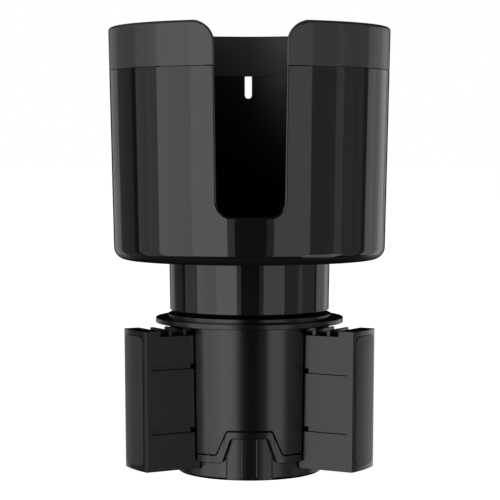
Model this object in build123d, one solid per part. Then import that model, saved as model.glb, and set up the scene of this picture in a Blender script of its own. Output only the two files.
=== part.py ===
from build123d import *
from math import cos, pi, radians, sin, tan
import os

os.makedirs("parts", exist_ok=True)

# Frame: origin under the centre of the foot, +Z up, the cup's slot faces -Y. Millimetres.

# Directions of the legs, and of the three wall panels between them
leg_angles = {"left": 210.0, "right": 330.0, "back": 90.0}
panel_angles = [270.0, 30.0, 150.0]
half_sector = 60.0

# Clearances
running_gap = 0.1        # thrust faces of the turning half
journal_gap = 0.05       # hub bore round the journal, on the radius
guide_gap = 0.3          # leg sides to the guide walls
window_gap = 0.75        # leg sides to the window edges
fit_gap = 0.1            # pieces laid in a recess
rib_gap = 0.15           # guide ribs to the groove floors
screw_gap = 0.05         # shanks in their pilot holes, on the radius

# Rim ring
rim_top_z = 168.5
rim_height = 16.2
rim_outer_r = 53.5
rim_draft = 0.35
rim_wall = 2.7
rim_outer_round = 1.3
rim_inner_round = 0.9
tongue_inset = 0.75
tongue_thickness = 0.8
tongue_height = 3.0

# Cup
cup_under_z = 81.1
cup_draft = 2.0
cup_wall = 2.4
cup_floor = 3.2
cup_corner_round = 4.6
cup_inner_round = 3.0

# Slot for a mug handle, and the narrow slot in the back wall, both turned a little about the axis
cup_turn = 0.5
slot_top_half = 12.9
slot_low_half = 12.0
slot_low_z = 98.6
slot_low_round = 5.6
shoulder_round = 8.5
back_slot_width = 2.85
back_slot_low_z = 143.3

# Mat in the cup
mat_thickness = 1.8
mat_edge_gap = 0.2
mat_edge_round = 0.6

# Neck
neck_low_z = 61.7
neck_low_r = 30.3
neck_draft = 0.3
neck_wall = 1.9
neck_edge_round = 0.35

# Scroll flange with its collar, posts and spiral
flange_low_z = 56.9
flange_thickness = 2.0
flange_width = 4.7
flange_edge_round = 0.25
collar_height = 1.5
collar_width = 0.75
collar_round = 0.3
collar_thickness = 2.8
shadow_high_inset = 0.4
shadow_low_inset = 2.1
spigot_height = 2.4
post_r = 4.0
post_circle_r = 21.0
hub_r = 7.2

# Spiral and the leg teeth that run in it
tooth_pitch = 6.0
spiral_starts = 3
spiral_wall = 1.0
spiral_low_z = 54.1
spiral_first_r = 9.2
spiral_last_r = 26.8
spiral_points = 28
tooth_lead_in = 1.15
tooth_thickness = 1.3
outer_tooth_r = 38.05
outer_tooth_half = 7.7
inner_tooth_half = 4.0
tooth_top_z = 55.9

# Legs, drawn fully out
leg_half = 8.8
leg_low_z = 3.9
leg_high_z = 55.9
leg_top_corner_r = 49.8
leg_draft = 0.45
leg_inner_end = 21.5
leg_side = 1.7
leg_plate = 1.5
leg_front_wall = 3.4
leg_cap_length = 7.0
leg_notch_z = 53.8
leg_shelf_z = 52.1
leg_edge_round = 0.5
groove_left_low_z = 18.6
groove_left_high_z = 42.4
groove_right_low_z = 18.9
groove_right_high_z = 40.6
groove_height = 1.8
groove_depth = 0.6

# Grip pads in the leg faces
grip_half = 6.9
grip_low_z = 5.9
grip_high_z = 53.9
grip_corner_round = 2.4
grip_depth = 1.4
grip_proud = 0.25

# Base sleeve
sleeve_high_r = 30.5
sleeve_draft = 0.75
sleeve_wall = 1.85
wave_low_z = 6.65
wave_high_z = 15.9
wave_low_angle = 21.0
wave_high_angle = 12.9
wave_round = 1.2
line_low_z = 9.5
line_high_z = 19.0
line_low_angle = 24.4
line_high_angle = 15.7
line_width = 0.55
line_turn = 0.45
line_depth = 0.5

# Base body
base_fit = 0.08
base_low_z = 0.1
base_wall = 2.0
base_wall_top_z = 20.0
base_edge_round = 0.5
guide_wall = 1.6
guide_inset = 0.42
guide_top_z = 53.6
rib_height = 1.2
rib_inner_r = 13.0
rib_inset = 0.8
panel_half = 8.4
panel_depth = 0.5
spindle_r = 5.2
journal_r = 4.0

# Foot
foot_inset = 3.8
foot_height = 1.6
foot_bevel = 0.3

# Screws and washer
shank_r = 1.5
clear_hole_r = 1.7
screw_head_r = 2.9
screw_head_height = 1.7
head_hole_r = 3.3
cup_screw_length = 12.0
base_screw_seat_z = 14.5
base_screw_length = 15.0
base_boss_r = 3.6
base_boss_top_z = 36.0
boss_web = 2.0
spindle_screw_length = 16.0
spindle_head_r = 3.4
spindle_head_height = 2.2
washer_r = 7.0
washer_thickness = 1.0
cross_width = 0.8
cross_depth = 0.9
cross_share = 0.6
pilot_extra = 2.0

# How far tools run past the solids they cut
past = 5.0
reach = 80.0

# Derived sizes
seam_z = rim_top_z - rim_height
seam_outer_r = rim_outer_r - rim_draft
mouth_r = rim_outer_r - rim_wall
tongue_inner_r = mouth_r + tongue_inset
tongue_outer_r = tongue_inner_r + tongue_thickness
cup_under_r = rim_outer_r - cup_draft
neck_high_r = neck_low_r + neck_draft
neck_inner_r = neck_low_r - neck_wall
collar_r = neck_low_r + collar_width
collar_inner_r = neck_inner_r - collar_thickness
flange_r = collar_r + flange_width
flange_high_z = flange_low_z + flange_thickness
collar_high_z = flange_high_z + collar_height
leg_low_corner_r = leg_top_corner_r - leg_draft
leg_front_wall_r = leg_top_corner_r - leg_front_wall
leg_notch_r = leg_top_corner_r - leg_cap_length
groove_heights = {1: (groove_left_low_z, groove_left_high_z),
                  -1: (groove_right_low_z, groove_right_high_z)}
sleeve_low_r = sleeve_high_r - sleeve_draft
sleeve_inner_r = sleeve_low_r - sleeve_wall
base_r = sleeve_inner_r - base_fit
guide_outer_r = base_r - guide_inset
rib_outer_r = guide_outer_r - rib_inset
foot_r = base_r - foot_inset
lead = tooth_pitch * spiral_starts
floor_top_z = leg_low_z - running_gap
inner_tooth_r = outer_tooth_r - 2 * tooth_pitch
thrust_z = spiral_low_z - running_gap
washer_z = neck_low_z + running_gap
cup_floor_z = cup_under_z + cup_floor
guide_half = leg_half + guide_gap
window_half = leg_half + window_gap
bridge_z = tooth_top_z + rib_gap
sleeve_high_z = flange_low_z - running_gap


def turned(points, rounds=()):
    """Turn a (radius, height) outline about Z. rounds holds (radius, height, corner radius)."""
    outline = make_face(Polyline(*points, close=True))
    for r, z, corner in rounds:
        outline = fillet(outline.vertices().sort_by_distance((r, z))[0], corner)
    return revolve(Plane.XZ * outline, Axis.Z)


def disc(radius, low, high):
    """A round bar about Z between two heights."""
    return Pos(0, 0, low) * extrude(Circle(radius), high - low)


def block(x, y, z):
    """A box given by its (low, high) pairs."""
    middle = [(a + b) / 2 for a, b in (x, y, z)]
    return Pos(*middle) * Box(x[1] - x[0], y[1] - y[0], z[1] - z[0])


def turn_to(angle, shape):
    """Carry a shape drawn along +X to a direction about Z."""
    return Rot(0, 0, angle) * shape


def at_circle(angle, radius, shape):
    """Carry a shape drawn about Z to a point on a circle."""
    return turn_to(angle, Pos(radius, 0, 0) * shape)


def frontal(points, rounds=()):
    """A prism of an (x, z) outline that runs from the axis out through the front."""
    outline = make_face(Polyline(*points, close=True))
    for x, z, corner in rounds:
        outline = fillet(outline.vertices().sort_by_distance((x, z))[0], corner)
    return extrude(Plane.XZ * outline, reach)


def cone(low, high):
    """A round solid between two (radius, height) pairs."""
    return turned([(0, low[1]), low, high, (0, high[1])])


def screw(head_r, head_height, length, seat_z):
    """A pan head screw, its head on top of seat_z and its shank below, with a cross recess."""
    body = disc(head_r, seat_z, seat_z + head_height) + disc(shank_r, seat_z - length, seat_z)
    cut = (seat_z + head_height - cross_depth, seat_z + head_height + past)
    arm = (-head_r * cross_share, head_r * cross_share)
    width = (-cross_width / 2, cross_width / 2)
    return body - block(arm, width, cut) - block(width, arm, cut)


# Slot cutter with the rounded shoulders at the rim and the rounded floor
slot_cut = frontal(
    [(-slot_low_half, slot_low_z), (slot_low_half, slot_low_z), (slot_top_half, rim_top_z),
     (rim_outer_r, rim_top_z), (rim_outer_r, rim_top_z + past), (-rim_outer_r, rim_top_z + past),
     (-rim_outer_r, rim_top_z), (-slot_top_half, rim_top_z)],
    [(-slot_low_half, slot_low_z, slot_low_round), (slot_low_half, slot_low_z, slot_low_round),
     (-slot_top_half, rim_top_z, shoulder_round), (slot_top_half, rim_top_z, shoulder_round)])
slot_cut = turn_to(cup_turn, slot_cut)

# Rim ring
rim_ring = turned(
    [(mouth_r, seam_z), (seam_outer_r, seam_z), (rim_outer_r, rim_top_z), (mouth_r, rim_top_z)],
    [(rim_outer_r, rim_top_z, rim_outer_round), (mouth_r, rim_top_z, rim_inner_round)])
tongue_groove = (disc(tongue_outer_r + fit_gap, seam_z, seam_z + tongue_height + fit_gap)
                 - disc(tongue_inner_r - fit_gap, seam_z, seam_z + tongue_height + fit_gap))
rim_ring = rim_ring - tongue_groove - slot_cut

# Cup with its floor, tongue, slots and screw seats
cup_body = turned(
    [(0, cup_under_z), (cup_under_r, cup_under_z), (seam_outer_r, seam_z),
     (mouth_r, seam_z), (cup_under_r - cup_wall, cup_floor_z), (0, cup_floor_z)],
    [(cup_under_r, cup_under_z, cup_corner_round),
     (cup_under_r - cup_wall, cup_floor_z, cup_inner_round)])
cup_body += (disc(tongue_outer_r, seam_z, seam_z + tongue_height)
             - disc(tongue_inner_r, seam_z, seam_z + tongue_height))
back_slot_half = back_slot_width / 2
back_slot_end = back_slot_low_z + back_slot_half
back_slot = (block((-back_slot_half, back_slot_half), (0, reach), (back_slot_end, rim_top_z))
             + extrude(Plane.XZ * Pos(0, back_slot_end) * Circle(back_slot_half), -reach))
cup_body = cup_body - slot_cut - turn_to(cup_turn, back_slot)
for angle in leg_angles.values():
    hole = disc(clear_hole_r, cup_under_z - past, cup_floor_z + past)
    hole += disc(head_hole_r, cup_floor_z - screw_head_height, cup_floor_z + past)
    cup_body -= at_circle(angle, post_circle_r, hole)

# Mat on the cup floor
cup_mat = disc(cup_under_r - cup_wall - cup_inner_round - mat_edge_gap,
               cup_floor_z, cup_floor_z + mat_thickness)
cup_mat = fillet(cup_mat.edges().filter_by(GeomType.CIRCLE).sort_by(Axis.Z)[-1], mat_edge_round)

# Neck between the collar and the cup
neck_tube = turned(
    [(neck_inner_r, neck_low_z), (neck_low_r, neck_low_z), (neck_high_r, cup_under_z),
     (neck_inner_r, cup_under_z)],
    [(neck_low_r, neck_low_z, neck_edge_round)])

# Flange, collar, spigot and hub in one turning
scroll_flange = turned(
    [(0, flange_low_z), (flange_r, flange_low_z), (flange_r, flange_high_z), (0, flange_high_z)],
    [(flange_r, flange_low_z, flange_edge_round), (flange_r, flange_high_z, flange_edge_round)])
scroll_flange += turned(
    [(collar_inner_r, flange_low_z), (collar_r, flange_low_z), (collar_r, collar_high_z),
     (neck_low_r - shadow_low_inset, collar_high_z), (neck_low_r - shadow_high_inset, neck_low_z),
     (neck_inner_r - fit_gap, neck_low_z),
     (neck_inner_r - fit_gap, neck_low_z + spigot_height),
     (collar_inner_r, neck_low_z + spigot_height)],
    [(collar_r, collar_high_z, collar_round)])
scroll_flange += disc(hub_r, spiral_low_z, neck_low_z)
scroll_flange -= disc(journal_r + journal_gap, spiral_low_z - past, neck_low_z + past)


def spiral_edge(offset):
    """Points along one side of the first spiral wall, which starts behind the back leg."""
    points = []
    middle_r = inner_tooth_r + tooth_lead_in + tooth_pitch / 2
    for i in range(spiral_points + 1):
        r = spiral_first_r + (spiral_last_r - spiral_first_r) * i / spiral_points
        a = radians(leg_angles["back"]) + 2 * pi * (r - middle_r) / lead
        points.append(((r + offset) * cos(a), (r + offset) * sin(a)))
    return points


# Three spiral walls under the flange
inner_edge = spiral_edge(-spiral_wall / 2)
outer_edge = spiral_edge(spiral_wall / 2)
wall_face = make_face([Spline(*inner_edge), Line(inner_edge[-1], outer_edge[-1]),
                       Spline(*outer_edge), Line(outer_edge[0], inner_edge[0])])
spiral = Pos(0, 0, spiral_low_z) * extrude(wall_face, flange_high_z - spiral_low_z - running_gap)
for k in range(spiral_starts):
    scroll_flange += turn_to(360 * k / spiral_starts, spiral)

# Posts that carry the cup
for angle in leg_angles.values():
    post = disc(post_r, flange_low_z, cup_under_z)
    pilot = disc(shank_r + screw_gap, cup_floor_z - cup_screw_length - cup_floor - pilot_extra,
                 cup_under_z + past)
    scroll_flange = scroll_flange + at_circle(angle, post_circle_r, post)
    scroll_flange = scroll_flange - at_circle(angle, post_circle_r, pilot)


# Base sleeve: a tapered shell with three windows and a wavy lower edge
def sleeve_solid(inset):
    """The sleeve's outer cone, moved inwards by an inset."""
    return cone((sleeve_low_r - inset, wave_low_z), (sleeve_high_r - inset, sleeve_high_z))


def wave_points(low_z, high_z, low_angle, high_angle):
    """The corner points of one wave across a panel, left to right."""
    low_x = sleeve_low_r * sin(radians(low_angle))
    high_x = sleeve_low_r * sin(radians(high_angle))
    return [(-sleeve_high_r, low_z), (-low_x, low_z), (-high_x, high_z),
            (high_x, high_z), (low_x, low_z), (sleeve_high_r, low_z)]


edge_points = wave_points(wave_low_z, wave_high_z, wave_low_angle, wave_high_angle)
wave_cut = frontal(edge_points + [(sleeve_high_r, -past), (-sleeve_high_r, -past)],
                   [(x, z, wave_round) for x, z in edge_points[1:5]])
line_lower = wave_points(line_low_z, line_high_z, line_low_angle, line_high_angle)
line_upper = wave_points(line_low_z + line_width, line_high_z + line_width,
                         line_low_angle + line_turn, line_high_angle + line_turn)
line_cut = frontal(line_lower + line_upper[::-1])

base_sleeve = sleeve_solid(0) - disc(sleeve_inner_r, wave_low_z - past, sleeve_high_z + past)
for angle in panel_angles:
    base_sleeve -= turn_to(angle + 90, wave_cut)
    base_sleeve -= turn_to(angle + 90, line_cut) - sleeve_solid(line_depth)
for angle in leg_angles.values():
    base_sleeve -= turn_to(angle, block((0, reach), (-window_half, window_half),
                                        (wave_low_z - past, bridge_z)))

# Screw bosses inside the sleeve
for angle in panel_angles:
    boss = disc(base_boss_r, base_wall_top_z, base_boss_top_z)
    web = block((0, sleeve_inner_r - post_circle_r + fit_gap), (-boss_web / 2, boss_web / 2),
                (base_wall_top_z, base_boss_top_z))
    pilot = disc(shank_r + screw_gap, base_wall_top_z - past,
                 base_screw_seat_z + base_screw_length + pilot_extra)
    base_sleeve += at_circle(angle, post_circle_r, boss + web)
    base_sleeve -= at_circle(angle, post_circle_r, pilot)

# Base body: floor, low wall and the spindle
base_body = turned(
    [(0, base_low_z), (base_r, base_low_z), (base_r, base_wall_top_z),
     (base_r - base_wall, base_wall_top_z), (base_r - base_wall, floor_top_z), (0, floor_top_z)],
    [(base_r, base_low_z, base_edge_round)])
for angle in leg_angles.values():
    base_body -= turn_to(angle, block((0, reach), (-window_half, window_half),
                                      (floor_top_z, base_wall_top_z + past)))
panel_cut = block((0, reach), (-panel_half, panel_half),
                  (base_low_z - past, base_wall_top_z - foot_height))
panel_cut -= disc(base_r - panel_depth, base_low_z - 2 * past, base_wall_top_z)
for angle in panel_angles:
    base_body -= turn_to(angle, panel_cut)
base_body += disc(spindle_r, base_low_z + foot_height, thrust_z)
base_body += disc(journal_r, base_low_z + foot_height, washer_z)


def guide_wedge(half):
    """The space between two neighbouring legs whose sides lie a half width from their axes."""
    tip = half / sin(radians(half_sector))
    far = reach
    side = (far - tip) * tan(radians(half_sector))
    return extrude(make_face(Polyline((tip, 0), (far, -side), (far, side), close=True)),
                   guide_top_z - base_low_z - foot_height)


# Guide walls that stand beside the legs, and the ribs that run in the leg grooves
guide_cell = guide_wedge(guide_half) - guide_wedge(guide_half + guide_wall)
guide_cell = Pos(0, 0, base_low_z + foot_height) * guide_cell
guide_cell &= disc(guide_outer_r, 0, guide_top_z)
for angle in panel_angles:
    base_body += turn_to(angle, guide_cell)
rib_tip = leg_half - groove_depth + rib_gap
for angle in leg_angles.values():
    for side, heights in groove_heights.items():
        y = sorted((side * rib_tip, side * (guide_half + fit_gap)))
        for height in heights:
            z = (height - rib_height / 2, height + rib_height / 2)
            base_body += turn_to(angle, block((rib_inner_r, rib_outer_r), y, z))

# Screw posts and the foot recess in the base body
for angle in panel_angles:
    base_body += at_circle(angle, post_circle_r, disc(post_r, floor_top_z - fit_gap, base_wall_top_z))
    tool = disc(clear_hole_r, 0, base_wall_top_z + past) + disc(head_hole_r, 0, base_screw_seat_z)
    base_body -= at_circle(angle, post_circle_r, tool)
base_body -= disc(foot_r + fit_gap, 0, foot_height)
base_body -= disc(shank_r + screw_gap,
                  washer_z + washer_thickness - spindle_screw_length - pilot_extra, washer_z + past)

# Foot under the base body
foot_pad = disc(foot_r, 0, foot_height)
foot_pad = chamfer(foot_pad.edges().filter_by(GeomType.CIRCLE).sort_by(Axis.Z)[0], foot_bevel)

# One leg, drawn along +X
leg_cone = cone((leg_low_corner_r, leg_low_z), (leg_top_corner_r, leg_high_z))
leg = leg_cone & block((leg_inner_end, reach), (-leg_half, leg_half), (leg_low_z, leg_high_z))
outer_corners = [e for e in leg.edges().filter_by(Axis.Y, reverse=True)
                 if e.center().X > leg_notch_r and abs(e.center().Y) > leg_half - fit_gap
                 and e.bounding_box().size.Z > leg_shelf_z - leg_low_z]
leg = fillet(outer_corners, leg_edge_round)
leg_inside = leg_half - leg_side
leg -= block((0, leg_front_wall_r), (-leg_inside, leg_inside),
             (leg_low_z + leg_plate, leg_shelf_z - leg_plate))
leg -= block((0, leg_notch_r), (-reach, reach), (leg_notch_z, leg_high_z + past))
leg -= block((0, leg_notch_r), (-leg_inside, leg_inside), (leg_shelf_z, leg_high_z))
for k, half in enumerate((outer_tooth_half, outer_tooth_half, inner_tooth_half)):
    r = outer_tooth_r - k * tooth_pitch
    leg += block((r - tooth_thickness / 2, r + tooth_thickness / 2), (-half, half),
                 (leg_shelf_z - fit_gap, tooth_top_z))
for side, heights in groove_heights.items():
    y = sorted((side * (leg_half - groove_depth), side * reach))
    for height in heights:
        z = (height - groove_height / 2, height + groove_height / 2)
        leg -= block((0, leg_front_wall_r), y, z)


def grip_prism(gap):
    """The grip pad's rounded outline, grown by a gap and run out along +X."""
    width, height = 2 * (grip_half + gap), grip_high_z - grip_low_z + 2 * gap
    middle = (grip_high_z + grip_low_z) / 2
    outline = RectangleRounded(width, height, grip_corner_round + gap)
    return extrude(Plane.YZ * Pos(0, middle) * outline, reach)


def leg_face(offset):
    """The round solid of the legs' outer faces, moved outwards by an offset."""
    return cone((leg_low_corner_r + offset, leg_low_z), (leg_top_corner_r + offset, leg_high_z))


leg -= grip_prism(fit_gap) - leg_face(-grip_depth)
grip = grip_prism(0) & (leg_face(grip_proud) - leg_face(-grip_depth))

# Screws and washer
cup_screw = screw(screw_head_r, screw_head_height, cup_screw_length,
                  cup_floor_z - screw_head_height)
base_screw = Pos(0, 0, base_screw_seat_z) * Rot(180, 0, 0) * screw(
    screw_head_r, screw_head_height, base_screw_length, 0)
spindle_screw = screw(spindle_head_r, spindle_head_height, spindle_screw_length,
                      washer_z + washer_thickness)
spindle_washer = disc(washer_r, washer_z, washer_z + washer_thickness)
spindle_washer -= disc(clear_hole_r, washer_z - past, washer_z + past)

# Every piece in its place
pieces = {
    "cup_body": cup_body, "rim_ring": rim_ring, "cup_mat": cup_mat, "neck_tube": neck_tube,
    "scroll_flange": scroll_flange, "base_sleeve": base_sleeve, "base_body": base_body,
    "foot_pad": foot_pad, "spindle_screw": spindle_screw, "spindle_washer": spindle_washer}
for side, angle in leg_angles.items():
    pieces["leg_" + side] = turn_to(angle, leg)
    pieces["grip_" + side] = turn_to(angle, grip)
    pieces["cup_screw_" + side] = at_circle(angle, post_circle_r, cup_screw)
for side, angle in zip(("front", "right", "left"), panel_angles):
    pieces["base_screw_" + side] = at_circle(angle, post_circle_r, base_screw)

for name, shape in pieces.items():
    export_step(shape, os.path.join("parts", name + ".step"))
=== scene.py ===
from math import atan2, cos, degrees, pi, radians, sin, tan

import bmesh
import bpy
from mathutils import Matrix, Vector


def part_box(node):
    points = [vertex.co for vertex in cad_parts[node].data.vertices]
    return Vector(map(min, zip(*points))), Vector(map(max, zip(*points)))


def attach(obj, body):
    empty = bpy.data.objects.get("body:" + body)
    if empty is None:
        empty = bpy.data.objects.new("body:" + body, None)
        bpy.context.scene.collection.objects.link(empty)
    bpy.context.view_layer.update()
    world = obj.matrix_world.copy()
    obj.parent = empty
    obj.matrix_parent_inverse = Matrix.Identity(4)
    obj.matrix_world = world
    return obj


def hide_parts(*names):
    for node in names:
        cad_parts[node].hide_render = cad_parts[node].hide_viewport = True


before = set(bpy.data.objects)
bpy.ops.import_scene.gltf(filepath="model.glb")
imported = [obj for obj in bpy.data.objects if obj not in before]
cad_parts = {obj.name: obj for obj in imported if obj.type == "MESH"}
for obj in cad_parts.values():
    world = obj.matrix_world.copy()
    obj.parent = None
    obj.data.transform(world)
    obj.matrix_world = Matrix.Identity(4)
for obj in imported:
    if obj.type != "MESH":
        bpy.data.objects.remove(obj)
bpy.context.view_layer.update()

# Sizes are in millimetres, turned to metres where a piece is made
MM = 0.001


def corners(node):
    """Low and high corner of a piece of the frame."""
    return [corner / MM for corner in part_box(node)]


cup_low = corners("cup_body")[0]
ring_low, ring_high = corners("rim_ring")
neck_low, neck_high = corners("neck_tube")
flange_low, flange_high = corners("scroll_flange")
sleeve_low, sleeve_high = corners("base_sleeve")
base_low = corners("base_body")[0]
foot_low, foot_high = corners("foot_pad")
mat_low, mat_high = corners("cup_mat")
leg_low, leg_high = corners("leg_back")
grip_low, grip_high = corners("grip_back")

# Cup and rim ring
rim_top = ring_high.z
seam = ring_low.z
rim_radius = 53.5
seam_radius = 53.15
mouth_radius = 50.8
cup_under = cup_low.z
cup_under_radius = 51.5
cup_inner_low_radius = 49.1
cup_low_round = 4.6
cup_floor = mat_low.z
cup_floor_round = 3.0
seam_bevel = 0.3
seam_inner_round = 0.2
rim_outer_round = 1.3
rim_inner_round = 0.9
wall_ease = 0.2
cup_turn = 0.5
slot_top_half = 12.9
slot_low_half = 12.0
slot_floor = 98.6
slot_corner = 5.6
slot_edge = 1.0
slot_past_rim = 0.03
shoulder = 8.5
back_slot_half = 1.42
back_slot_floor = 143.3

# Column lines beside the slot that are taken out before its edges are rounded: their range of
# degrees, how far they may lean, and how far they stay from the cup's bottom and the rim
beside_slot = (12.0, 16.2)
column_lean = 0.1
column_face_angle = 4
column_above_bottom = 4.3
column_below_rim = 1.2
# How much of its normal points away from the axis: in a turned wall at least, and in the slot's
# cut at most
wall_share = 0.994
cut_share = 0.6

# Mat with its rings
mat_rings = 6
mat_ring_inset = 5.0
mat_ring_pitch = 6.0
mat_groove_half = 0.6
mat_groove_depth = 0.5
mat_low_round = 0.3
mat_high_round = 0.6

# Neck, flange and collar
neck_low_radius = 30.3
neck_high_radius = 30.6
neck_inner_radius = 28.4
neck_low_round = 0.35
flange_radius = flange_high.x
flange_under = 56.9
flange_top = 58.9
collar_radius = 31.05
flange_round = 0.25
collar_top = 60.4
collar_round = 0.3
collar_foot_round = 0.15
hub_round = 0.3
spigot_height = 2.4
spigot_gap = 0.1
spigot_inner_radius = 25.6
gap_high_radius = 29.9
gap_low_radius = 28.2
spiral_low = flange_low.z
spiral_pitch = 6.0
spiral_starts = 3
spiral_wall = 1.0
spiral_first = 9.2
spiral_last = 26.8
spiral_middle = 30.2
spiral_steps = 72
spiral_root = 0.3
post_radius = 4.0
post_bore = 1.55
post_circle = 21.0
post_steps = 32
hub_radius = 7.2
journal_radius = 4.05

# Sleeve and base
sleeve_top_radius = sleeve_high.x
sleeve_low_radius = 29.75
sleeve_inner_radius = 27.9
sleeve_top_round = 0.35
wave_low = sleeve_low.z
sleeve_lines = (wave_low + 10, 30.0, 44.0)
wave_high = 15.9
wave_low_angle = 20.0
wave_high_angle = 13.5
wave_round = 1.6
sleeve_edge_round = 0.33
line_low = 9.5
line_high = 18.65
line_low_angle = 24.4
line_high_angle = 16.4
line_width = 0.2
line_depth = 0.9
line_round = 1.3
window_half = 9.55
window_top = 56.05
base_radius = 27.82
base_wall = 2.0
base_wall_top = 20.0
base_floor = 3.8
base_low_round = 1.3
base_ease = 0.15
running_gap = 0.1
recess_half = 8.4
recess_depth = 0.5
recess_below_top = 1.6
rib_place = 2.75
rib_half = 0.3
rib_height = 0.3
rib_root = 0.8
rib_below_top = 1.7
rib_ease = 0.28
guide_half = 9.1
guide_wall = 1.6
guide_radius = 27.4
guide_top = 53.6
spindle_radius = 5.2
spindle_top_radius = 4.0
foot_radius = foot_high.x
foot_gap = 0.1
foot_round = 0.4
foot_recess_round = 0.2
foot_rings = (8.0, 13.0, 18.0)
foot_ring_depth = 0.4
foot_ring_low_half = 0.8
foot_ring_high_half = 0.4

# Legs and grips, drawn along +X and then turned to their places
leg_turns = {"left": 210.0, "right": 330.0, "back": 90.0}
panel_turns = (270.0, 30.0, 150.0)
leg_half = 8.8
leg_inner = 21.5
leg_top_radius = 49.8
leg_low_radius = 49.35
leg_round = 0.5
leg_ease = 0.14
leg_wall = 1.7
leg_front_wall = 46.4
leg_plate = 1.5
leg_cap_top = leg_high.z
leg_notch = 42.8
leg_notch_floor = 53.8
leg_shelf = 52.1
tooth_top = leg_high.z
tooth_places = ((38.05, 7.7), (32.05, 7.7), (26.05, 4.0))
tooth_thickness = 1.3
tooth_root = 0.1
grooves = ((1, 18.6), (1, 42.4), (-1, 18.9), (-1, 40.6))
groove_height = 1.8
groove_depth = 0.6
groove_lip = 0.25
groove_chamfer = 0.3
groove_end = 46.4
groove_mouth = 30.1
groove_mouth_inset = 2.0
grip_half = 6.9
grip_corner = 2.4
grip_depth = 1.4
grip_proud = 0.25
grip_gap = 0.05
grip_ease = 0.1
grip_block_inner = 40.0
grip_block_length = 20.0

# How deep joined solids run into each other, and how far cutters reach outwards, across, above
# the legs and past the end of a piece
overlap = 0.2
reach = 80.0
across = 60.0
above_legs = 70.0
past = 5.0

# Fineness of the turned pieces
wall_steps = 222
small_steps = 180
face_steps = 720
smooth_angle = radians(32)
real_edge = radians(50)

# Camera, in millimetres and degrees
camera_distance = 713.5
camera_height = 122.6
camera_pitch = 3.0763
camera_lens = 134.64
camera_shift = 0.0011
camera_sensor = 36


# Modelling helpers

def rest_selection():
    """Leave edit mode and select nothing."""
    if bpy.context.object and bpy.context.object.mode != "OBJECT":
        bpy.ops.object.mode_set(mode="OBJECT")
    bpy.ops.object.select_all(action="DESELECT")


def pick(piece):
    """Select one piece alone and make it active."""
    rest_selection()
    piece.select_set(True)
    bpy.context.view_layer.objects.active = piece


def corner_arc(before, corner, after, radius, steps):
    """Points of the round that replaces a corner of an outline."""
    b, c, a = (Vector(p) for p in (before, corner, after))
    u, v = (b - c).normalized(), (a - c).normalized()
    half = u.angle(v) / 2
    back = radius / tan(half)
    middle = c + (u + v).normalized() * (radius / sin(half))
    start, end = c + u * back - middle, c + v * back - middle
    turn = start.angle_signed(end)
    points = []
    for i in range(steps + 1):
        a = -turn * i / steps
        points.append((middle.x + start.x * cos(a) - start.y * sin(a),
                       middle.y + start.x * sin(a) + start.y * cos(a)))
    return points


def rounded(outline, rounds):
    """An outline with some corners rounded. rounds maps a point's index to (radius, steps)."""
    points = []
    count = len(outline)
    for i, p in enumerate(outline):
        if i in rounds:
            radius, steps = rounds[i]
            points += corner_arc(outline[i - 1], p, outline[(i + 1) % count], radius, steps)
        else:
            points.append(p)
    return points


def drawn(name, points, closed=True):
    """A wire piece made by extruding one vertex from point to point, points in millimetres."""
    rest_selection()
    bpy.ops.mesh.primitive_plane_add(size=MM, location=(0, 0, 0))
    piece = bpy.context.object
    piece.name = piece.data.name = name
    bpy.ops.object.mode_set(mode="EDIT")
    bpy.ops.mesh.select_mode(type="VERT")
    bpy.ops.mesh.select_all(action="SELECT")
    bpy.ops.mesh.merge(type="CENTER")
    spots = [Vector(p) * MM for p in points]
    bpy.ops.transform.translate(value=spots[0])
    for a, b in zip(spots, spots[1:]):
        bpy.ops.mesh.extrude_region_move(TRANSFORM_OT_translate={"value": b - a})
    if closed:
        bpy.ops.mesh.select_all(action="SELECT")
        mesh = bmesh.from_edit_mesh(piece.data)
        mesh.edges.new([spot for spot in mesh.verts if len(spot.link_edges) == 1])
        bmesh.update_edit_mesh(piece.data)
    return piece


def close_up(piece):
    """Merge doubled points, point the faces outwards and leave edit mode."""
    bpy.ops.mesh.select_all(action="SELECT")
    bpy.ops.mesh.remove_doubles(threshold=0.002 * MM)
    bpy.ops.mesh.normals_make_consistent(inside=False)
    bpy.ops.object.mode_set(mode="OBJECT")
    return piece


def turned(name, outline, steps):
    """A lathe piece: a (radius, height) outline spun about Z, left open on the axis."""
    points = [(r, 0, z) for r, z in outline]
    on_axis = outline[0][0] == 0 and outline[-1][0] == 0
    piece = drawn(name, points, closed=not on_axis)
    bpy.ops.mesh.select_all(action="SELECT")
    bpy.ops.mesh.spin(steps=steps, angle=2 * pi, center=(0, 0, 0), axis=(0, 0, 1))
    return close_up(piece)


def prism(name, points, push):
    """A solid of a closed outline of 3-D points, pushed along a vector."""
    piece = drawn(name, points)
    bpy.ops.mesh.select_all(action="SELECT")
    bpy.ops.mesh.edge_face_add()
    bpy.ops.mesh.extrude_region_move(TRANSFORM_OT_translate={"value": Vector(push) * MM})
    return close_up(piece)


def slab(name, x, y, z):
    """A box between (low, high) pairs."""
    outline = [(x[0], y[0], z[0]), (x[1], y[0], z[0]), (x[1], y[1], z[0]), (x[0], y[1], z[0])]
    return prism(name, outline, (0, 0, z[1] - z[0]))


def settle(piece):
    """Put a piece's place and turn into its mesh."""
    pick(piece)
    bpy.ops.object.transform_apply(location=True, rotation=True, scale=True)
    return piece


def about_z(piece, angle):
    """Turn a piece about Z by degrees."""
    piece.rotation_euler = (0, 0, radians(angle))
    return settle(piece)


def turned_copy(piece, name, angle):
    """A copy with its own mesh, turned about Z by degrees."""
    copy = piece.copy()
    copy.data = piece.data.copy()
    copy.name = copy.data.name = name
    bpy.context.scene.collection.objects.link(copy)
    return about_z(copy, angle)


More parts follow.
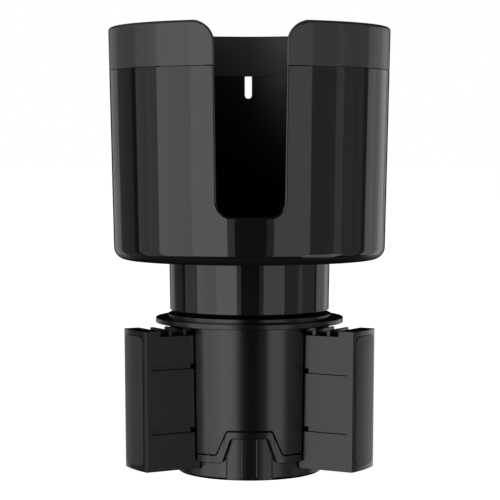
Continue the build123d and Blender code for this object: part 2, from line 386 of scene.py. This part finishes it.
def turned_copies(piece, turns, ahead=0):
    """A copy for each turn, plus the degrees that the piece was drawn ahead. The piece goes."""
    copies = [turned_copy(piece, f"{piece.name}_{k}", turn + ahead)
              for k, turn in enumerate(turns)]
    bpy.data.objects.remove(piece)
    return copies


def combine(piece, tool, operation):
    """Cut, join or keep what two solids share, and delete the tool."""
    pick(piece)
    change = piece.modifiers.new(operation.title(), "BOOLEAN")
    change.operation = operation
    change.solver = "EXACT"
    change.object = tool
    bpy.ops.object.modifier_apply(modifier=change.name)
    bpy.data.objects.remove(tool)
    return piece


def cut(piece, tool):
    return combine(piece, tool, "DIFFERENCE")


def add(piece, tool):
    return combine(piece, tool, "UNION")


def keep(piece, tool):
    return combine(piece, tool, "INTERSECT")


def ease_edges(piece, width, steps):
    """Round the sharp edges a little, as a moulded piece has them, and shade smooth."""
    pick(piece)
    bevel = piece.modifiers.new("Edges", "BEVEL")
    bevel.width = width * MM
    bevel.segments = steps
    bevel.limit_method = "ANGLE"
    bevel.angle_limit = real_edge
    bevel.use_clamp_overlap = False
    bevel.miter_outer = "MITER_ARC"
    bpy.ops.object.modifier_apply(modifier=bevel.name)
    return smooth(piece)


def smooth(piece):
    """Smooth shading that keeps real corners and lets the large faces rule the shading."""
    pick(piece)
    bpy.ops.object.shade_smooth_by_angle(angle=smooth_angle)
    even = piece.modifiers.new("Even", "WEIGHTED_NORMAL")
    even.keep_sharp = True
    even.weight = 50
    bpy.ops.object.modifier_apply(modifier=even.name)
    return piece


def joined(piece, parts):
    """Put some parts into the mesh of a piece, without merging them."""
    rest_selection()
    for part in [*parts, piece]:
        part.select_set(True)
    bpy.context.view_layer.objects.active = piece
    bpy.ops.object.join()
    return smooth(piece)


def pick_edges(piece, wanted):
    """Go into edit mode with the edges selected for which wanted(edge) holds."""
    pick(piece)
    bpy.ops.object.mode_set(mode="EDIT")
    bpy.ops.mesh.select_mode(type="EDGE")
    bpy.ops.mesh.select_all(action="DESELECT")
    mesh = bmesh.from_edit_mesh(piece.data)
    for edge in mesh.edges:
        if wanted(edge):
            edge.select_set(True)
    bmesh.update_edit_mesh(piece.data)


def fit_in(piece, node, body, material):
    """The piece stands for a CAD node, rides on its body and gets its finish."""
    piece.data.materials.clear()
    piece.data.materials.append(material)
    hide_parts(node)
    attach(piece, body)
    return piece


# Shader groups

def group_sockets(group, inputs, outputs):
    """Name a shader group's inputs and outputs, each (name, socket type, default)."""
    for name, kind, value in inputs:
        socket = group.interface.new_socket(name=name, in_out="INPUT", socket_type=kind)
        if value is not None:
            socket.default_value = value
    for name, kind in outputs:
        group.interface.new_socket(name=name, in_out="OUTPUT", socket_type=kind)
    return group.nodes.new("NodeGroupInput"), group.nodes.new("NodeGroupOutput")


def maths(group, operation, *values):
    """A maths node's output. Each value is a number or a socket to link."""
    node = group.nodes.new("ShaderNodeMath")
    node.operation = operation
    for socket, value in zip(node.inputs, values):
        if isinstance(value, (int, float)):
            socket.default_value = value
        else:
            group.links.new(value, socket)
    return node.outputs[0]


def moulded_surface_group():
    """Fine grain, slow waviness and a little unevenness of the gloss, for a moulded piece."""
    group = bpy.data.node_groups.new("moulded surface", "ShaderNodeTree")
    start, end = group_sockets(
        group,
        [("Grain Scale", "NodeSocketFloat", 2500.0), ("Grain Depth", "NodeSocketFloat", 0.3),
         ("Wave Scale", "NodeSocketFloat", 40.0), ("Wave Depth", "NodeSocketFloat", 0.2),
         ("Roughness", "NodeSocketFloat", 0.3), ("Roughness Spread", "NodeSocketFloat", 0.05),
         ("Colour", "NodeSocketColor", (0.01, 0.01, 0.01, 1)),
         ("Colour Spread", "NodeSocketFloat", 0.1)],
        [("Colour", "NodeSocketColor"), ("Roughness", "NodeSocketFloat"),
         ("Height", "NodeSocketFloat")])
    nodes, links, given = group.nodes, group.links, start.outputs
    place = nodes.new("ShaderNodeTexCoord")
    noises = []
    for scale, detail in ((given["Grain Scale"], 3.0), (given["Wave Scale"], 1.0), (None, 5.0)):
        noise = nodes.new("ShaderNodeTexNoise")
        noise.inputs["Detail"].default_value = detail
        links.new(place.outputs["Object"], noise.inputs["Vector"])
        if scale is None:
            noise.inputs["Scale"].default_value = patch_scale
        else:
            links.new(scale, noise.inputs["Scale"])
        noises.append(noise.outputs["Fac"])
    grain, wave, patch = noises

    fine = maths(group, "MULTIPLY", grain, given["Grain Depth"])
    height = maths(group, "MULTIPLY_ADD", wave, given["Wave Depth"], fine)
    links.new(height, end.inputs["Height"])

    centred = maths(group, "SUBTRACT", patch, 0.5)
    rough = maths(group, "MULTIPLY_ADD", centred, given["Roughness Spread"], given["Roughness"])
    links.new(rough, end.inputs["Roughness"])

    value = maths(group, "MULTIPLY_ADD", centred, given["Colour Spread"], 1.0)
    tint = nodes.new("ShaderNodeHueSaturation")
    links.new(value, tint.inputs["Value"])
    links.new(given["Colour"], tint.inputs["Color"])
    links.new(tint.outputs["Color"], end.inputs["Colour"])
    return group


def inside_mask_group():
    """White where a point is nearer the axis than a radius, for the inside of a round piece."""
    group = bpy.data.node_groups.new("inside of a round piece", "ShaderNodeTree")
    start, end = group_sockets(group, [("Radius", "NodeSocketFloat", 0.05)],
                               [("Mask", "NodeSocketFloat")])
    nodes, links = group.nodes, group.links
    place = nodes.new("ShaderNodeTexCoord")
    flat = nodes.new("ShaderNodeVectorMath")
    flat.operation = "MULTIPLY"
    flat.inputs[1].default_value = (1, 1, 0)
    links.new(place.outputs["Object"], flat.inputs[0])
    distance = nodes.new("ShaderNodeVectorMath")
    distance.operation = "LENGTH"
    links.new(flat.outputs["Vector"], distance.inputs[0])
    nearer = maths(group, "LESS_THAN", distance.outputs["Value"], start.outputs["Radius"])
    links.new(nearer, end.inputs["Mask"])
    return group


patch_scale = 55.0
bump_distance = 0.02
plastic_ior = 1.5
moulded_surface = moulded_surface_group()
inside_mask = inside_mask_group()


def surfaced(name, surface_values, bump, shader_values):
    """A material with the moulded surface. Values go to the sockets that they are named after."""
    material = bpy.data.materials.new(name)
    material.use_nodes = True
    nodes, links = material.node_tree.nodes, material.node_tree.links
    shader = nodes["Principled BSDF"]
    surface = nodes.new("ShaderNodeGroup")
    surface.node_tree = moulded_surface
    relief = nodes.new("ShaderNodeBump")
    relief.inputs["Strength"].default_value = bump
    relief.inputs["Distance"].default_value = bump_distance * MM
    links.new(surface.outputs["Height"], relief.inputs["Height"])
    links.new(surface.outputs["Colour"], shader.inputs["Base Color"])
    links.new(surface.outputs["Roughness"], shader.inputs["Roughness"])
    links.new(relief.outputs["Normal"], shader.inputs["Normal"])
    for node, values in ((surface, surface_values), (shader, shader_values)):
        for socket, value in values.items():
            node.inputs[socket].default_value = value
    return material


def plastic(name, colour, roughness, grain, wave_depth, bump, spread,
            coat=0.0, coat_roughness=0.05, level=0.5):
    """A moulded plastic or rubber. grain is (scale, depth)."""
    return surfaced(
        name,
        {"Colour": (*colour, 1), "Roughness": roughness, "Roughness Spread": spread,
         "Grain Scale": grain[0], "Grain Depth": grain[1], "Wave Depth": wave_depth},
        bump,
        {"IOR": plastic_ior, "Specular IOR Level": level,
         "Coat Weight": coat, "Coat Roughness": coat_roughness})


def matt_inside(material, radius, extra):
    """Add roughness inside a radius, where the mould was left unpolished."""
    tree = material.node_tree
    shader = tree.nodes["Principled BSDF"]
    mask = tree.nodes.new("ShaderNodeGroup")
    mask.node_tree = inside_mask
    mask.inputs["Radius"].default_value = radius * MM
    for socket in (shader.inputs["Roughness"], shader.inputs["Coat Roughness"]):
        before = socket.links[0].from_socket if socket.is_linked else socket.default_value
        rougher = maths(tree, "MULTIPLY_ADD", mask.outputs["Mask"], extra, before)
        tree.links.new(rougher, socket)


# The inside of the cup and the ring is duller than the outside
matt_radius = mouth_radius + 0.3
gloss = {"colour": (0.009, 0.009, 0.0092), "roughness": 0.055, "grain": (3000, 0.02),
         "wave_depth": 0.25, "bump": 0.12, "spread": 0.02}
gloss_black = plastic("gloss black plastic", **gloss)
cup_black = plastic("cup black plastic", **gloss)
matt_inside(cup_black, matt_radius, 0.3)
satin_black = plastic("satin black plastic", (0.0048, 0.0048, 0.005), 0.22,
                      grain=(4200, 0.6), wave_depth=0.1, bump=0.25, spread=0.05)
base_black = plastic("base black plastic", (0.006, 0.006, 0.0062), 0.22,
                     grain=(4200, 0.4), wave_depth=0.1, bump=0.2, spread=0.04)
ring_black = plastic("ring black plastic", (0.048, 0.048, 0.049), 0.42,
                     grain=(4200, 0.5), wave_depth=0.1, bump=0.15, spread=0.04,
                     coat=0.36, coat_roughness=0.08, level=0.3)
matt_inside(ring_black, matt_radius, 0.22)
leg_black = plastic("leg black plastic", (0.0055, 0.0055, 0.0057), 0.22,
                    grain=(4200, 0.5), wave_depth=0.1, bump=0.2, spread=0.05)
grip_rubber = plastic("grip rubber", (0.024, 0.0245, 0.027), 0.42,
                      grain=(5200, 0.8), wave_depth=0.1, bump=0.3, spread=0.06)
soft_rubber = plastic("soft black rubber", (0.016, 0.016, 0.017), 0.7,
                      grain=(3600, 1.0), wave_depth=0.2, bump=0.6, spread=0.1)
screw_steel = surfaced("screw steel", {"Colour": (0.56, 0.57, 0.58, 1), "Roughness": 0.3,
                                       "Roughness Spread": 0.15}, 0.15, {"Metallic": 1.0})


# Cup and ring

def slot_tool():
    """The handle slot as a solid, from the axis out through the front, just past the rim's top."""
    top = rim_top + slot_past_rim
    above = top + past
    outline = [(-slot_low_half, slot_floor), (slot_low_half, slot_floor),
               (slot_top_half, top), (rim_radius, top), (rim_radius, above),
               (-rim_radius, above), (-rim_radius, top), (-slot_top_half, top)]
    outline = rounded(outline, {0: (slot_corner, 12), 1: (slot_corner, 12),
                                2: (shoulder, 14), 7: (shoulder, 14)})
    tool = prism("slot", [(x, 0, z) for x, z in outline], (0, -reach, 0))
    return about_z(tool, cup_turn)


def column_beside_slot(edge):
    """Whether an edge is a column line that runs nearly along one of the slot's sides."""
    a, b = (spot.co / MM for spot in edge.verts)
    if (len(edge.link_faces) != 2 or a.y > 0 or min(a.z, b.z) <= cup_under + column_above_bottom
            or max(a.z, b.z) >= rim_top - column_below_rim):
        return False
    turns = [degrees(atan2(spot.x, -spot.y)) - cup_turn for spot in (a, b)]
    beside = all(beside_slot[0] < abs(turn) < beside_slot[1] for turn in turns)
    return (beside and abs(turns[0] - turns[1]) < column_lean
            and edge.calc_face_angle() < radians(column_face_angle))


def slot_edge_line(edge):
    """Whether an edge lies between the slot's cut and a turned wall."""
    if len(edge.link_faces) != 2:
        return False
    middle = (edge.verts[0].co + edge.verts[1].co) / 2 / MM
    outward = [abs(face.normal.to_2d().dot(middle.to_2d().normalized()))
               for face in edge.link_faces]
    near = middle.y < 0 and abs(middle.x) < slot_top_half + shoulder + 2
    return (near and min(outward) < cut_share < max(outward)
            and edge.calc_face_angle() > real_edge)


def round_slot(piece):
    """Give the slot's edges their large round. Column lines that would cross it go first."""
    pick_edges(piece, column_beside_slot)
    bpy.ops.mesh.dissolve_edges(use_verts=True)
    pick_edges(piece, slot_edge_line)
    bpy.ops.mesh.bevel(offset=slot_edge * MM, segments=5, clamp_overlap=False, loop_slide=False)
    bpy.ops.object.mode_set(mode="OBJECT")


def turned_shading(piece):
    """Shade the turned walls as true rounds, whatever faces the cuts have left in them."""
    mesh = piece.data
    normals = [corner.vector.copy() for corner in mesh.corner_normals]
    for face in mesh.polygons:
        out = face.center.to_2d().normalized()
        level = face.normal.to_2d().dot(out)
        if abs(level) < wall_share:
            continue
        for corner in face.loop_indices:
            spot = mesh.vertices[mesh.loops[corner].vertex_index].co.to_2d().normalized()
            normals[corner] = Vector((*(spot * level), face.normal.z)).normalized()
    mesh.normals_split_custom_set(normals)


def make_cup():
    outline = [(0, cup_under), (cup_under_radius, cup_under), (seam_radius, seam),
               (mouth_radius, seam), (cup_inner_low_radius, cup_floor), (0, cup_floor)]
    outline = rounded(outline, {1: (cup_low_round, 12), 2: (seam_bevel, 2),
                                3: (seam_inner_round, 2), 4: (cup_floor_round, 8)})
    cup = turned("cup_shell", outline, wall_steps)
    cut(cup, slot_tool())
    back = [(back_slot_half * cos(a), back_slot_floor + back_slot_half * (1 + sin(a)))
            for a in (pi + pi * i / 12 for i in range(13))]
    back += [(back_slot_half, seam + past), (-back_slot_half, seam + past)]
    back_slot = prism("back_slot", [(x, 0, z) for x, z in back], (0, reach, 0))
    cut(cup, about_z(back_slot, cup_turn))
    round_slot(cup)
    ease_edges(cup, width=wall_ease, steps=2)
    turned_shading(cup)
    return fit_in(cup, "cup_body", "upper", cup_black)


def make_ring():
    outline = [(mouth_radius, seam), (seam_radius, seam), (rim_radius, rim_top),
               (mouth_radius, rim_top)]
    outline = rounded(outline, {0: (seam_inner_round, 2), 1: (seam_bevel, 2),
                                2: (rim_outer_round, 8), 3: (rim_inner_round, 6)})
    ring = turned("rim_band", outline, wall_steps)
    cut(ring, slot_tool())
    round_slot(ring)
    ease_edges(ring, width=wall_ease, steps=2)
    turned_shading(ring)
    return fit_in(ring, "rim_ring", "upper", ring_black)


def make_mat():
    """A soft disc with a few shallow rings moulded in its top."""
    radius, top = mat_high.x, mat_high.z
    outline = [(0, mat_low.z), (radius, mat_low.z), (radius, top)]
    for k in range(mat_rings):
        r = radius - mat_ring_inset - k * mat_ring_pitch
        outline += [(r + mat_groove_half, top), (r, top - mat_groove_depth),
                    (r - mat_groove_half, top)]
    outline += [(0, top)]
    outline = rounded(outline, {1: (mat_low_round, 2), 2: (mat_high_round, 4)})
    mat = smooth(turned("cup_liner", outline, small_steps))
    return fit_in(mat, "cup_mat", "upper", soft_rubber)


# Neck and flange

def make_neck():
    outline = [(neck_inner_radius, neck_low.z), (neck_low_radius, neck_low.z),
               (neck_high_radius, neck_high.z), (neck_inner_radius, neck_high.z)]
    neck = smooth(turned("neck_sleeve", rounded(outline, {1: (neck_low_round, 4)}), small_steps))
    return fit_in(neck, "neck_tube", "upper", gloss_black)


def spiral_side(offset):
    """Points along one side of a spiral wall."""
    lead = spiral_pitch * spiral_starts
    points = []
    for i in range(spiral_steps + 1):
        r = spiral_first + (spiral_last - spiral_first) * i / spiral_steps
        a = radians(leg_turns["back"]) + 2 * pi * (r - spiral_middle) / lead
        points.append(((r + offset) * cos(a), (r + offset) * sin(a), spiral_low))
    return points


def make_flange():
    """The flange with its collar, hub and spigot, the spiral walls below and the posts above."""
    under, top, low = flange_under, flange_top, neck_low.z
    spigot_radius, spigot_top = neck_inner_radius - spigot_gap, low + spigot_height
    outline = [(journal_radius, spiral_low), (hub_radius, spiral_low), (hub_radius, under),
               (flange_radius, under), (flange_radius, top), (collar_radius, top),
               (collar_radius, collar_top), (gap_low_radius, collar_top),
               (gap_high_radius, low), (spigot_radius, low), (spigot_radius, spigot_top),
               (spigot_inner_radius, spigot_top), (spigot_inner_radius, top),
               (hub_radius, top), (hub_radius, low), (journal_radius, low)]
    outline = rounded(outline, {2: (hub_round, 2), 3: (flange_round, 4), 4: (flange_round, 4),
                                5: (collar_foot_round, 2), 6: (collar_round, 4)})
    flange = turned("flange_dial", outline, small_steps)
    wall = spiral_side(-spiral_wall / 2) + spiral_side(spiral_wall / 2)[::-1]
    spiral = prism("spiral", wall, (0, 0, under - spiral_low + spiral_root))
    parts = turned_copies(spiral, [360 * k / spiral_starts for k in range(spiral_starts)])
    post = turned("post", [(post_bore, top - overlap), (post_radius, top - overlap),
                           (post_radius, neck_high.z), (post_bore, neck_high.z)], post_steps)
    pick(post)
    bpy.ops.transform.translate(value=(post_circle * MM, 0, 0))
    parts += turned_copies(settle(post), leg_turns.values())
    joined(flange, parts)
    return fit_in(flange, "scroll_flange", "upper", satin_black)


# Base sleeve and base body

def wave_line(low_z, high_z, low_angle, high_angle):
    """Corner points of one wave across a front panel."""
    low_x = sleeve_low_radius * sin(radians(low_angle))
    high_x = sleeve_low_radius * sin(radians(high_angle))
    return [(-sleeve_top_radius, low_z), (-low_x, low_z), (-high_x, high_z),
            (high_x, high_z), (low_x, low_z), (sleeve_top_radius, low_z)]


def sleeve_radius(z):
    """Outer radius of the sleeve at a height."""
    share = (z - wave_low) / (sleeve_high.z - wave_low)
    return sleeve_low_radius + (sleeve_top_radius - sleeve_low_radius) * share


def cut_panels(piece, name, outline, inner=None):
    """Cut an (x, z) outline drawn at the front into each wall panel, down to an inner solid."""
    tool = prism(name, [(x, 0, z) for x, z in outline], (0, -across, 0))
    if inner:
        cut(tool, inner)
    for copy in turned_copies(tool, panel_turns, ahead=90):
        cut(piece, copy)


def cut_windows(piece, low, high):
    """Cut the legs' windows between two heights."""
    window = slab("window", (10, reach), (-window_half, window_half), (low, high))
    for copy in turned_copies(window, leg_turns.values()):
        cut(piece, copy)


def make_sleeve():
    top = sleeve_high.z
    heights = (wave_low, *sleeve_lines, top)
    outline = [(sleeve_inner_radius, wave_low), *((sleeve_radius(z), z) for z in heights),
               (sleeve_inner_radius, top)]
    outline = rounded(outline, {len(heights): (sleeve_top_round, 3)})
    sleeve = turned("sleeve_shell", outline, small_steps)

    edge = wave_line(wave_low, wave_high, wave_low_angle, wave_high_angle)
    edge += [(sleeve_top_radius, -past), (-sleeve_top_radius, -past)]
    cut_panels(sleeve, "wave", rounded(edge, {k: (wave_round, 5) for k in (1, 2, 3, 4)}))

    lower = wave_line(line_low, line_high, line_low_angle, line_high_angle)
    upper = wave_line(line_low + line_width, line_high + line_width,
                      line_low_angle + line_width, line_high_angle + line_width)
    line = rounded(lower + upper[::-1], {k: (line_round, 5) for k in (1, 2, 3, 4, 7, 8, 9, 10)})
    floor = [(sleeve_radius(z) - line_depth, z) for z in (-2, 60)]
    cut_panels(sleeve, "line", line, turned("core", [(0, -2), *floor, (0, 60)], small_steps))

    cut_windows(sleeve, -past, window_top)
    ease_edges(sleeve, width=sleeve_edge_round, steps=3)
    return fit_in(sleeve, "base_sleeve", "base", satin_black)


def guide_corner(tip):
    """Where a guide side that starts at a tip on the axis line meets the guide radius."""
    slope = tan(radians(60))
    a, b = 1 + slope ** 2, -2 * tip * slope ** 2
    c = (tip * slope) ** 2 - guide_radius ** 2
    x = (-b + (b * b - 4 * a * c) ** 0.5) / (2 * a)
    return x, (x - tip) * slope


def make_guides():
    """The walls that guide the legs, each a V round the space behind one panel."""
    tip_out, tip_in = (half / sin(radians(60)) for half in (guide_half, guide_half + guide_wall))
    outer, inner = guide_corner(tip_out), guide_corner(tip_in)
    cell = [(tip_out, 0), outer, inner,
            (tip_in, 0), (inner[0], -inner[1]), (outer[0], -outer[1])]
    low = base_floor - overlap
    guide = prism("guide", [(x, y, low) for x, y in cell], (0, 0, guide_top - low))
    return turned_copies(guide, panel_turns)


def make_base():
    low, rest, crown = base_low.z, spiral_low - running_gap, neck_low.z + running_gap
    inner, foot_room = base_radius - base_wall, foot_radius + foot_gap
    outline = [(0, foot_high.z), (foot_room, foot_high.z), (foot_room, low),
               (base_radius, low), (base_radius, base_wall_top), (inner, base_wall_top),
               (inner, base_floor), (spindle_radius, base_floor), (spindle_radius, rest),
               (spindle_top_radius, rest), (spindle_top_radius, crown), (0, crown)]
    outline = rounded(outline, {2: (foot_recess_round, 2), 3: (base_low_round, 8)})
    base = turned("base_cup", outline, small_steps)
    cut_windows(base, base_floor, 30)

    core_radius = base_radius - recess_depth
    recess = slab("recess", (10, reach), (-recess_half, recess_half),
                  (-past, base_wall_top - recess_below_top))
    cut(recess, turned("core", [(0, -8), (core_radius, -8), (core_radius, 30), (0, 30)],
                       small_steps))
    for copy in turned_copies(recess, panel_turns):
        cut(base, copy)
    ease_edges(base, width=base_ease, steps=2)

    walls = make_guides()
    crest = (core_radius ** 2 - rib_place ** 2) ** 0.5 + rib_height
    for side in (-1, 1):
        y = sorted((side * (rib_place - rib_half), side * (rib_place + rib_half)))
        rib = slab(f"rib_{side}", (crest - rib_root, crest), y,
                   (low + base_low_round, base_wall_top - rib_below_top))
        ease_edges(rib, width=rib_ease, steps=3)
        walls += turned_copies(rib, panel_turns)
    joined(base, walls)
    return fit_in(base, "base_body", "base", base_black)


def make_foot():
    """The foot, with three shallow rings in its underside."""
    low, high, radius = foot_low.z, foot_high.z, foot_high.x
    deep, wide, narrow = low + foot_ring_depth, foot_ring_low_half, foot_ring_high_half
    outline = [(0, low)]
    for r in foot_rings:
        outline += [(r - wide, low), (r - narrow, deep), (r + narrow, deep), (r + wide, low)]
    outline += [(radius, low), (radius, high), (0, high)]
    outline = rounded(outline, {len(outline) - 3: (foot_round, 3)})
    foot = smooth(turned("foot_disc", outline, small_steps))
    return fit_in(foot, "foot_pad", "base", soft_rubber)


# Legs and grips

def face_core(offset):
    """The round solid that ends in the legs' outer faces, moved outwards by an offset."""
    low, high = leg_low.z, leg_cap_top
    return turned("core", [(0, low), (leg_low_radius + offset, low),
                           (leg_top_radius + offset, high), (0, high)], face_steps)


def outer_corner(edge):
    """Whether an edge is an upright outer corner of a leg drawn along +X."""
    a, b = (spot.co / MM for spot in edge.verts)
    return min(a.x, b.x) > leg_notch and abs(a.z - b.z) > 20 and abs(a.y) > leg_half - 0.1


def groove_tool(side, z):
    """A groove in one side of a leg. Its lower edge has a small chamfer, its upper edge none."""
    low, high = z - groove_height / 2, z + groove_height / 2
    floor, out = leg_half - groove_depth, leg_half + 2
    outline = [(floor, low), (leg_half - groove_lip, low),
               (leg_half + 0.05, low - groove_chamfer), (out, low - groove_chamfer),
               (out, high), (floor, high)]
    return prism("groove", [(0, side * y, height) for y, height in outline], (groove_end, 0, 0))


def grip_block(name, gap):
    """The grip's rounded outline run out along +X."""
    y, z_low, z_high = grip_half + gap, grip_low.z - gap, grip_high.z + gap
    outline = rounded([(-y, z_low), (y, z_low), (y, z_high), (-y, z_high)],
                      {k: (grip_corner + gap, 8) for k in range(4)})
    return prism(name, [(grip_block_inner, a, b) for a, b in outline], (grip_block_length, 0, 0))


def for_each_leg(piece, name, node, material):
    """Turn a piece that was drawn along +X to each leg. The drawn one goes."""
    made = []
    for side, turn in leg_turns.items():
        copy = turned_copy(piece, f"{name}_{side}", turn)
        made.append(fit_in(copy, f"{node}_{side}", f"{side}_leg", material))
    bpy.data.objects.remove(piece)
    return made


def make_legs():
    low, inside = leg_low.z, leg_half - leg_wall
    leg = slab("leg", (leg_inner, across), (-leg_half, leg_half), (low, leg_cap_top))
    keep(leg, face_core(0))
    pick_edges(leg, outer_corner)
    bpy.ops.mesh.bevel(offset=leg_round * MM, segments=5, clamp_overlap=False)
    bpy.ops.object.mode_set(mode="OBJECT")
    cut(leg, slab("inside", (0, leg_front_wall), (-inside, inside),
                  (low + leg_plate, leg_shelf - leg_plate)))
    cut(leg, slab("notch", (0, leg_notch), (-across, across), (leg_notch_floor, above_legs)))
    cut(leg, slab("shelf", (0, leg_notch), (-inside, inside), (leg_shelf, above_legs)))
    for k, (r, half) in enumerate(tooth_places):
        add(leg, slab(f"tooth_{k}", (r - tooth_thickness / 2, r + tooth_thickness / 2),
                      (-half, half), (leg_shelf - tooth_root, tooth_top)))
    pocket = grip_block("pocket", grip_gap)
    cut(pocket, face_core(-grip_depth))
    cut(leg, pocket)
    ease_edges(leg, width=leg_ease, steps=2)
    for side, z in grooves:
        cut(leg, groove_tool(side, z))
        cut(leg, slab("mouth", (leg_inner + groove_mouth_inset, groove_mouth),
                      sorted((side * (inside - overlap), side * 20)),
                      (z - groove_height / 2, z + groove_height / 2)))
    return for_each_leg(smooth(leg), "leg_shell", "leg", leg_black)


def make_grips():
    grip = grip_block("grip", 0)
    keep(grip, face_core(grip_proud))
    cut(grip, face_core(-grip_depth))
    ease_edges(grip, width=grip_ease, steps=2)
    return for_each_leg(grip, "grip_pad", "grip", grip_rubber)


cup = make_cup()
ring = make_ring()
make_mat()
neck = make_neck()
make_flange()
sleeve = make_sleeve()
make_base()
make_foot()
legs = make_legs()
grips = make_grips()

# The screws and the washer keep their CAD shapes
for name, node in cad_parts.items():
    if "screw" in name or "washer" in name:
        node.data.materials.clear()
        node.data.materials.append(screw_steel)


# Studio

def make_floor():
    """A pale floor that the camera sees; the object's gloss shows the lamps instead."""
    rest_selection()
    bpy.ops.mesh.primitive_plane_add(size=30, location=(0, 0, 0))
    floor = bpy.context.object
    floor.name = "floor"
    material = bpy.data.materials.new("pale floor")
    material.use_nodes = True
    shader = material.node_tree.nodes["Principled BSDF"]
    shader.inputs["Base Color"].default_value = (0.9, 0.9, 0.9, 1)
    shader.inputs["Roughness"].default_value = 1.0
    shader.inputs["Emission Color"].default_value = (1, 1, 1, 1)
    shader.inputs["Emission Strength"].default_value = 1.0
    floor.data.materials.append(material)
    floor.visible_glossy = False
    floor.visible_diffuse = False
    floor.visible_shadow = False


def make_world():
    """White behind the object for the camera, and nearly dark for its reflections."""
    world = bpy.data.worlds.new("studio")
    bpy.context.scene.world = world
    world.use_nodes = True
    nodes, links = world.node_tree.nodes, world.node_tree.links
    backdrop = nodes["Background"]
    ray = nodes.new("ShaderNodeLightPath")
    shade = nodes.new("ShaderNodeMix")
    shade.data_type = "RGBA"
    shade.inputs["A"].default_value = (0.0015, 0.0015, 0.0015, 1)
    shade.inputs["B"].default_value = (1, 1, 1, 1)
    links.new(ray.outputs["Is Camera Ray"], shade.inputs["Factor"])
    links.new(shade.outputs["Result"], backdrop.inputs["Color"])


# Soft boxes round the object: (from, to, low, high, brightness), in degrees as the object sees
# them. 0 is the camera's side, plus is to the right, and low and high are above the horizon.
right_box = (20, 51, -30, 4, 1.10)
soft_boxes = (
    (-160, -136.5, -24, -1.0, 0.45),
    (-136.5, -111, -30, 30, 0.13),
    (-105, -92, -30, 30, 0.46),
    (-92, -80, -30, 30, 0.56),
    (-80, -48, -30, 34, 1.65),
    (-48, -18, -30, 34, 2.10),
    (-18, -12, -30, 34, 0.55),
    (14, 20, -30, 34, 0.25),
    right_box,
    (51, 74, -30, 30, 0.30),
    (74, 82, -30, 30, 0.62),
    (82, 94, -30, 30, 0.33),
    (94, 106, -30, 30, 0.27),
    (106, 112, -30, 30, 0.10),
    (112, 124, -24, -1.0, 0.80),
    (124, 136, -24, -1.0, 0.60),
    (136, 150, -24, -1.0, 0.85),
    (150, 160, -24, -1.0, 0.40),
)
# What only the cup, the ring and the neck see: the boxes behind the object run on above the
# horizon, and a strip shows low in the cup's bottom round
high_boxes = (
    (-160, -136.5, -1.0, 9, 0.40),
    (112, 124, -1.0, 9, 0.80),
    (124, 136, -1.0, 9, 0.60),
    (136, 150, -1.0, 9, 0.85),
    (150, 160, -1.0, 9, 0.40),
)
strip_boxes = ((49, 86, -40, -15, 1.2),)
# What only the legs and grips see, at a grazing angle on the legs' outer faces
leg_boxes = ((-145, -133, -30, 4, 0.45), (126, 150, -24, -1.0, 0.55))
# What the sleeve sees in place of the right box
sleeve_boxes = ((26.5, 51, -30, 4, 1.6),)
box_distance = 3.0
box_height = 85.82


def seen_by(name, pieces, state="INCLUDE"):
    """The pieces that a lamp lights or, with EXCLUDE, the only ones that it leaves out."""
    group = bpy.data.collections.new(name)
    for piece in pieces:
        group.objects.link(piece)
    for entry in group.collection_objects:
        entry.light_linking.link_state = state
    return group


def make_lights():
    upright = seen_by("upright walls", (cup, ring, neck))
    outer = seen_by("legs and grips", legs + grips)
    only_sleeve = seen_by("sleeve", (sleeve,))
    no_sleeve = seen_by("all but the sleeve", (sleeve,), "EXCLUDE")
    lamps = [(box, no_sleeve if box is right_box else None) for box in soft_boxes]
    for boxes, receivers in ((high_boxes, upright), (leg_boxes, outer), (strip_boxes, upright),
                             (sleeve_boxes, only_sleeve)):
        lamps += [(box, receivers) for box in boxes]
    for k, ((start, end, low, high, bright), receivers) in enumerate(lamps):
        middle, half = radians((start + end) / 2), radians((end - start) / 2)
        top, bottom = (tan(radians(a)) * box_distance for a in (high, low))
        width, height = 2 * box_distance * tan(half), top - bottom
        bpy.ops.object.light_add(type="AREA")
        lamp = bpy.context.object
        lamp.name = f"soft_box_{k}"
        lamp.data.shape = "RECTANGLE"
        lamp.data.size, lamp.data.size_y = width, height
        lamp.data.energy = bright * pi * width * height
        lamp.location = (sin(middle) * box_distance, -cos(middle) * box_distance,
                         box_height * MM + (top + bottom) / 2)
        lamp.rotation_euler = (pi / 2, 0, middle)
        lamp.visible_camera = False
        if receivers:
            lamp.light_linking.receiver_collection = receivers


def make_camera():
    bpy.ops.object.camera_add(
        location=(0, -camera_distance * MM, camera_height * MM),
        rotation=(radians(90 - camera_pitch), 0, 0))
    camera = bpy.context.object
    camera.data.lens = camera_lens
    camera.data.sensor_width = camera_sensor
    camera.data.shift_x = camera_shift
    bpy.context.scene.camera = camera


make_floor()
make_world()
make_lights()
make_camera()
bpy.context.scene.view_settings.view_transform = "Standard"
